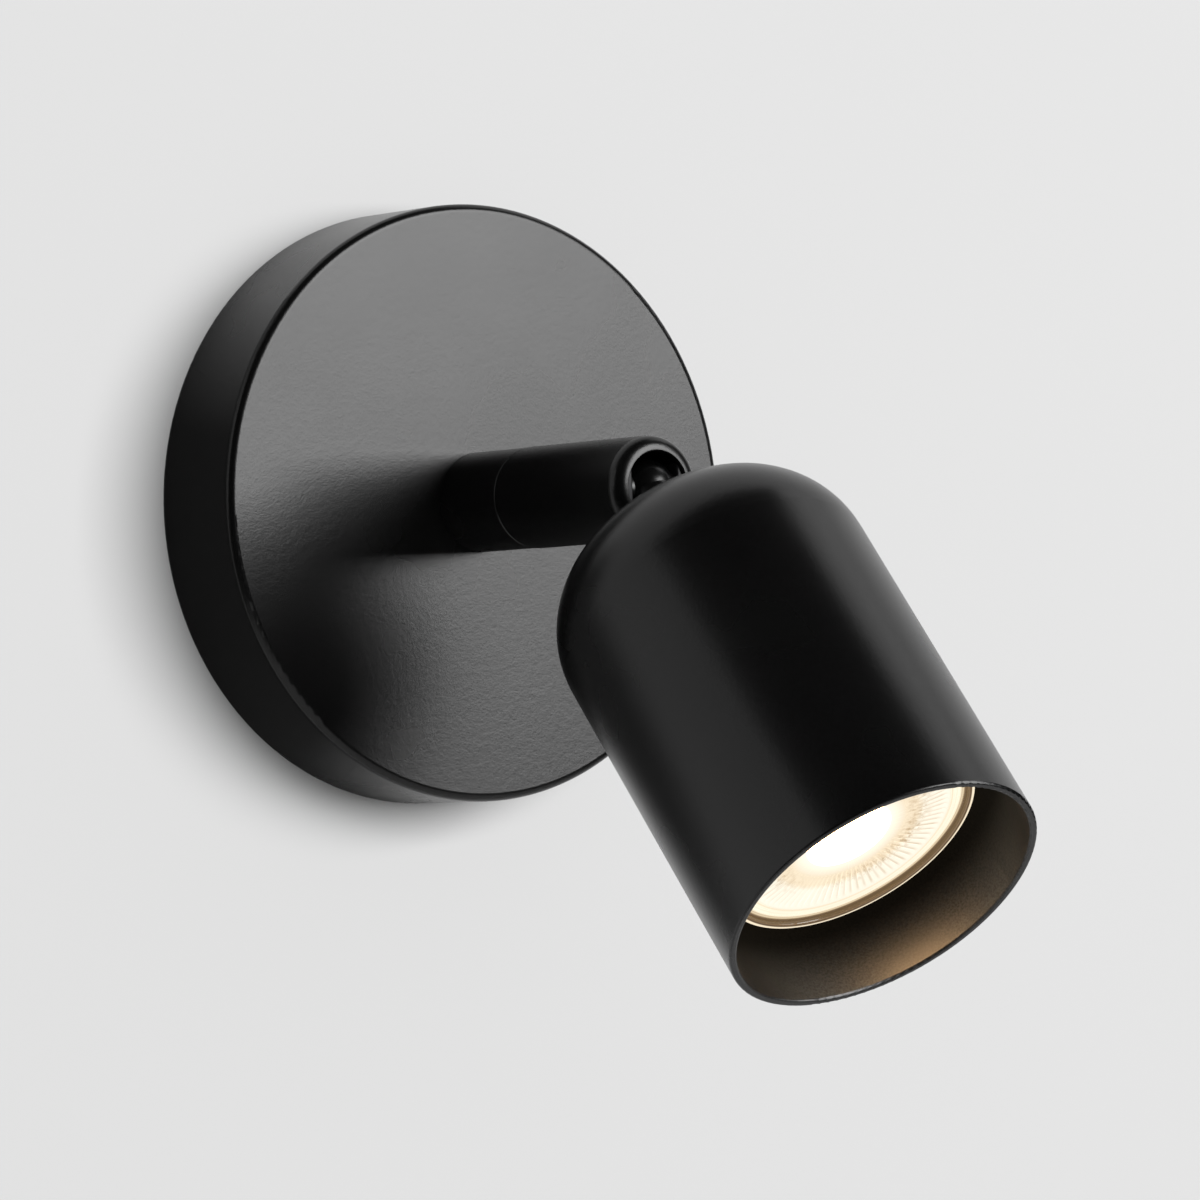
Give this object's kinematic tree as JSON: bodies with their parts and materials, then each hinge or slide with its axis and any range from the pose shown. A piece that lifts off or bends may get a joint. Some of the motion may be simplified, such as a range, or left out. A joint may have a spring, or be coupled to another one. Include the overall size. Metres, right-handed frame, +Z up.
{
  "type": "pivoting spotlight wall light",
  "caption": "Wall light with a round cup-shaped back plate, a swivelling stem and a domed cylindrical spotlight head that tilts in the stem's open end.",
  "frame": {"origin": "centre of the back plate, on the wall", "axes": "+X to the right as seen from the room, +Y into the wall, +Z up; the stem stands out along -Y"},
  "size_m": [0.115, 0.1642, 0.1533],
  "materials": {
    "black_powder_coat": "fine textured satin-matte black powder coat",
    "zinc_plated_steel": "zinc-plated steel",
    "blackened_steel": "blackened steel",
    "spring_steel": "dark spring steel",
    "terminal_brass": "plain brass",
    "tinned_brass": "tin-plated brass",
    "terminal_plastic": "natural moulded polyamide",
    "bearing_plastic": "black acetal",
    "brown_insulation": "brown lead insulation",
    "blue_insulation": "blue lead insulation",
    "earth_insulation": "green and yellow lead insulation",
    "white_sleeving": "woven glass sleeving, silicone coated",
    "holder_steatite": "unglazed off-white steatite",
    "lamp_plastic": "white moulded plastic",
    "lamp_pin_metal": "nickel-plated pins",
    "reflector_glass": "pressed glass, mirror-coated inside",
    "lens_trim": "moulded trim ring",
    "lens_clear": "clear ribbed lens",
    "board_white": "white board",
    "sink_aluminium": "bare aluminium",
    "emitter_yellow": "yellow phosphor"
  },
  "bodies": {
    "wall_base": {"mounting_bracket": "zinc_plated_steel", "bracket_tabs": "zinc_plated_steel", "back_plate": "black_powder_coat", "plate_screws": "black_powder_coat", "terminal_block": "terminal_plastic", "terminal_clamps": "terminal_brass", "terminal_screws": "zinc_plated_steel", "block_screw": "zinc_plated_steel", "earth_lug": "tinned_brass", "earth_screw": "zinc_plated_steel", "stem_nipple": "zinc_plated_steel", "nipple_washer": "zinc_plated_steel", "nipple_nut": "zinc_plated_steel", "stem_collar": "black_powder_coat", "stop_pin": "zinc_plated_steel", "swivel_washer": "bearing_plastic", "swivel_spring": "spring_steel", "swivel_nut": "zinc_plated_steel", "base_live_lead": "brown_insulation", "base_neutral_lead": "blue_insulation", "earth_lead": "earth_insulation", "base_sleeving": "white_sleeving"},
    "arm": {"stem_sleeve": "black_powder_coat", "tilt_fork": "blackened_steel", "fork_screw": "black_powder_coat", "tilt_pins": "blackened_steel", "arm_live_lead": "brown_insulation", "arm_neutral_lead": "blue_insulation", "arm_sleeving": "white_sleeving"},
    "head": {"tilt_knuckle": "black_powder_coat", "tilt_washers": "bearing_plastic", "head_shell": "black_powder_coat", "holder_bracket": "zinc_plated_steel", "neck_washer": "zinc_plated_steel", "neck_nut": "zinc_plated_steel", "lampholder": "holder_steatite", "holder_contacts": "terminal_brass", "holder_screws": "zinc_plated_steel", "head_live_lead": "brown_insulation", "head_neutral_lead": "blue_insulation", "head_sleeving": "white_sleeving"},
    "lamp": {"lamp_base": "lamp_plastic", "lamp_pins": "lamp_pin_metal", "lamp_reflector": "reflector_glass", "lens_ring": "lens_trim", "lamp_lens": "lens_clear", "led_board": "board_white", "led_heat_sink": "sink_aluminium", "led_emitter": "emitter_yellow"}
  },
  "joints": [
    {"name": "stem_swivel", "type": "hinge", "parent": "wall_base", "child": "arm", "pos_m": [0, -0.0415, 0], "axis": [0, -1, 0], "range_deg": [-170, 170]},
    {"name": "head_tilt", "type": "hinge", "parent": "arm", "child": "head", "pos_m": [0, -0.0764, 0], "axis": [1, 0, 0], "range_deg": [-49.7, 40.3]},
    {"name": "lamp_twist", "type": "hinge", "parent": "head", "child": "lamp", "pos_m": [0, -0.0764, 0], "axis": [0, -0.6468, -0.7627], "range_deg": [0, 20]}
  ]
}
